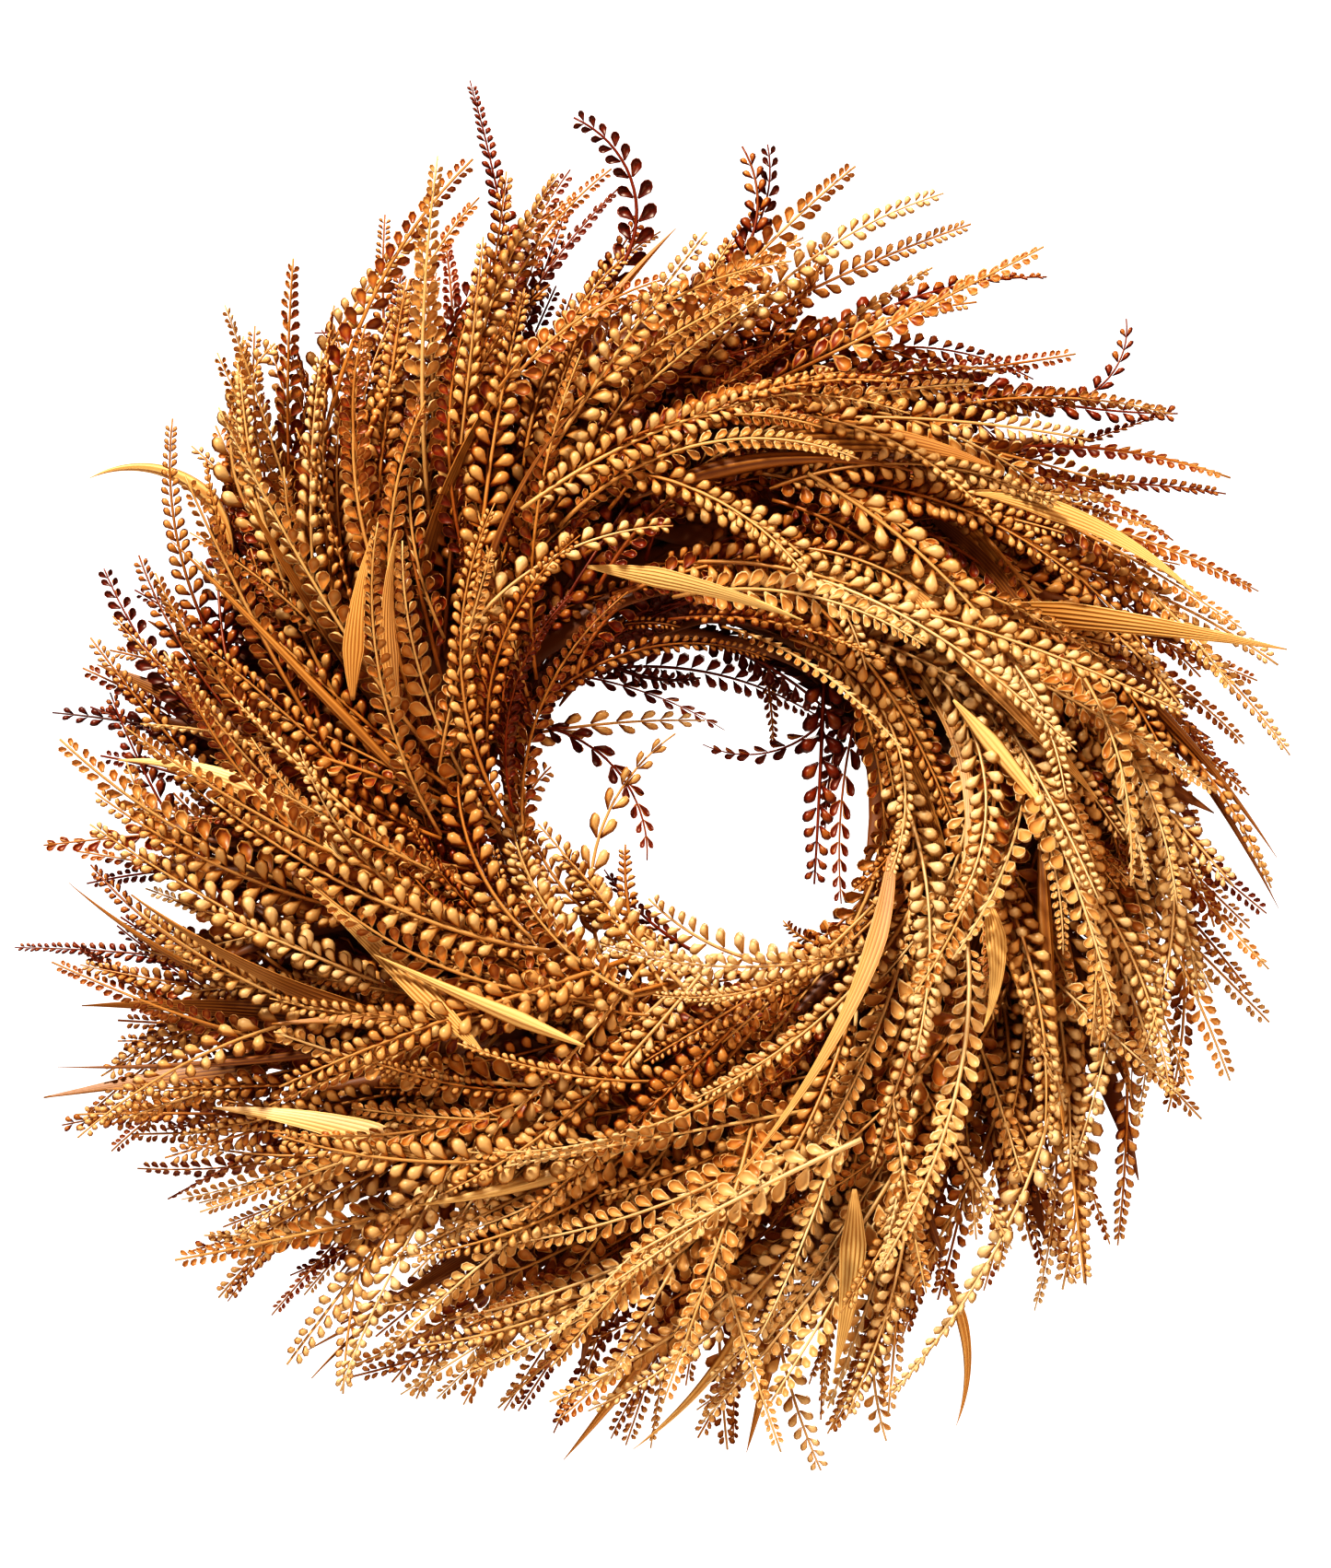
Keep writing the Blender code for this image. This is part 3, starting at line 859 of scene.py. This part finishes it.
def pickBase(node):
    # the angle of the clock where the pick's stem leaves the ring, read from its solid
    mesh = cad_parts[node].data
    places = np.empty(len(mesh.vertices) * 3, np.float32)
    mesh.vertices.foreach_get("co", places)
    places = places.reshape(-1, 3) - np.array(ringCentre, np.float32)
    radii = np.hypot(places[:, 0], places[:, 2])
    gap = np.hypot(radii - ringRadius, places[:, 1])
    near = places[np.argsort(gap)[:8]].mean(axis=0)
    return math.atan2(near[0], near[2])


def finishPiece(bm, name, slot):
    mesh = bpy.data.meshes.new(name)
    bm.to_mesh(mesh)
    bm.free()
    mesh.materials.append(finishes[slot])
    piece = bpy.data.objects.new(name, mesh)
    bpy.context.scene.collection.objects.link(piece)
    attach(piece, "wreath")
    return piece


def insideLimits(places):
    # sprigs stay out of the wreath's eye and near the room the solids take
    low = np.array(cadBox[0]) - routeMargin
    high = np.array(cadBox[1]) + routeMargin
    eyeCentre = ringCentre + eyeShift
    eye = np.hypot((places[:, 0] - eyeCentre.x) / clearEye[0], (places[:, 2] - eyeCentre.z) / clearEye[1])
    across = places[:, 0] - ringCentre.x - rowReach["middle"][0]
    rise = places[:, 2] - ringCentre.z - rowReach["middle"][1]
    hour = np.degrees(np.arctan2(across, rise)) % 360.0 / 30.0
    far = np.hypot(across, rise) / np.interp(hour, range(13), rowReach["hours"])
    return eye.min() > 1.0 and far.max() < 1.0 and (places > low).all() and (places < high).all()


def drawRoute(row, base, draw, length):
    # a place for one sprig or blade, or nothing where it finds no room
    fill = rowFill[row]
    for _ in range(routeTries):
        angle = base + math.radians(drawAbout(draw, fill["spread"]))
        radius = ringRadius + drawBetween(draw, fill["radius"])
        start = ringCentre + outward(angle) * radius + front * drawBetween(draw, fill["depth"])
        if row == "inner":
            start += eyeShift
        first = drawBetween(draw, fill["heading"]) + sagTurn * math.cos(angle - sagClock)
        if draw.random() < strayShare:
            first += drawAbout(draw, strayTurn)
        lift = drawBetween(draw, fill["pitch"])
        heading = (first, first + drawBetween(draw, fill["turn"]))
        pitch = (lift, lift + drawBetween(draw, fill["settle"]))
        droop, follow = drawBetween(draw, fill["droop"]), drawBetween(draw, fill["follow"])
        places = sweepRoute(start, heading, pitch, length, droop, follow)
        if insideLimits(places):
            return places
    return None


def fillSprigs(bm, row, base, draw):
    fill = rowFill[row]
    for _ in range(fill["sprigs"]):
        model = draw.choice(plainFronds if draw.random() < fill["plain"] else fullFronds)
        scale = drawBetween(draw, fill["scale"])
        places = drawRoute(row, base, draw, model[0] * scale)
        if places is None:
            continue
        roll = draw.choice((0.0, math.pi)) + math.radians(drawAbout(draw, sprigRoll))
        twist = math.radians(drawAbout(draw, sprigTwist))
        bendOnto(bm, model, places, roll, twist, scale, drawBetween(draw, fill["tone"]))


def fillBlades(bm, row, base, draw):
    for _ in range(grassFill["eyeBlades" if row == "inner" else "blades"]):
        model = bladeModels["ribbed" if draw.random() < grassFill["ribbed"] else "folded"]
        places = drawRoute(row, base, draw, model[0] * drawBetween(draw, grassFill["length"]))
        if places is None:
            continue
        roll = math.radians(drawAbout(draw, grassFill["roll"]))
        twist = math.radians(drawAbout(draw, grassFill["twist"]))
        width, tone = drawBetween(draw, grassFill["width"]), drawBetween(draw, grassFill["tone"])
        bendOnto(bm, model, places, roll, twist, width, tone)


def looseRoute(hour, radius, height, heading, turn, lift, length):
    start = ringCentre + outward(math.radians(hour * 30.0)) * radius + front * height
    return sweepRoute(start, (heading, heading + turn), (lift, lift), length, 0.0, 0.0)


def buildLooseBlades():
    draw = random.Random(31)
    bm = bmesh.new()
    addLayers(bm)
    for *route, model, width, tone in looseBlades.values():
        roll, twist = math.radians(drawAbout(draw, 14.0)), math.radians(drawAbout(draw, 25.0))
        bendOnto(bm, bladeModels[model], looseRoute(*route), roll, twist, width, tone)
    finishPiece(bm, "loose_blades", "grass_plastic")


def buildLooseSprigs():
    draw = random.Random(32)
    bm = bmesh.new()
    addLayers(bm)
    for *route, model, width, tone, face in looseSprigs.values():
        roll = (math.pi if face == "cup" else 0.0) + math.radians(drawAbout(draw, 20.0))
        twist = math.radians(drawAbout(draw, 30.0))
        bendOnto(bm, looseModels[model], looseRoute(*route), roll, twist, width, tone)
    finishPiece(bm, "loose_sprigs", "frond_plastic")


def buildPicks():
    draw = random.Random(7)
    for node in sorted(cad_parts):
        row = node.split("_")[0]
        if row not in rowFill:
            continue
        base = pickBase(node)
        bm = bmesh.new()
        addLayers(bm)
        fillSprigs(bm, row, base, draw)
        sprigs = finishPiece(bm, node + "_sprigs", "frond_plastic")
        if "grass" in node:
            bm = bmesh.new()
            addLayers(bm)
            fillBlades(bm, row, base, draw)
            blades = finishPiece(bm, node + "_blades", "grass_plastic")
            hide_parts(node)
        else:
            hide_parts(node)


def buildShadeLining():
    # painted shade: dark blades low among the stems, which close the gaps between the sprigs
    draw = random.Random(19)
    bm = bmesh.new()
    addLayers(bm)
    for fill in shadeLiningFill.values():
        for number in range(fill["blades"]):
            angle = 2.0 * math.pi * number / fill["blades"]
            radius = ringRadius + drawBetween(draw, fill["radius"])
            start = ringCentre + outward(angle) * radius + front * drawBetween(draw, fill["depth"])
            start += eyeShift * fill["shift"]
            sag = sagTurn * math.cos(angle - sagClock) * (1.0 - fill["shift"])
            first = drawBetween(draw, fill["heading"]) + sag
            lift = drawBetween(draw, shadeLiningHabit["pitch"])
            heading = (first, first + drawBetween(draw, fill["turn"]))
            length, follow = drawBetween(draw, fill["length"]), drawBetween(draw, fill["follow"])
            places = sweepRoute(start, heading, (lift, lift / 2), length, shadeLiningHabit["droop"], follow)
            roll = math.radians(drawAbout(draw, shadeLiningHabit["turn"]))
            twist = math.radians(drawAbout(draw, shadeLiningHabit["turn"]))
            tone = drawBetween(draw, shadeLiningHabit["tone"])
            bendOnto(bm, bladeModels["shadeLining"], places, roll, twist, fill["width"], tone)
    finishPiece(bm, "shade_lining_blades", "grass_plastic")


buildShadeLining()
buildLooseBlades()
buildLooseSprigs()
buildPicks()
print("picks filled")

frameSlots = {
    "cane_wood": ("ring_cane_1", "ring_cane_2", "ring_cane_3"),
    "dark_wire": ("paddle_wire", "hanging_tie", "hanging_loop"),
}
for slot, nodes in frameSlots.items():
    for node in nodes:
        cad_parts[node].data.materials.clear()
        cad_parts[node].data.materials.append(finishes[slot])
print("canes and wires finished")
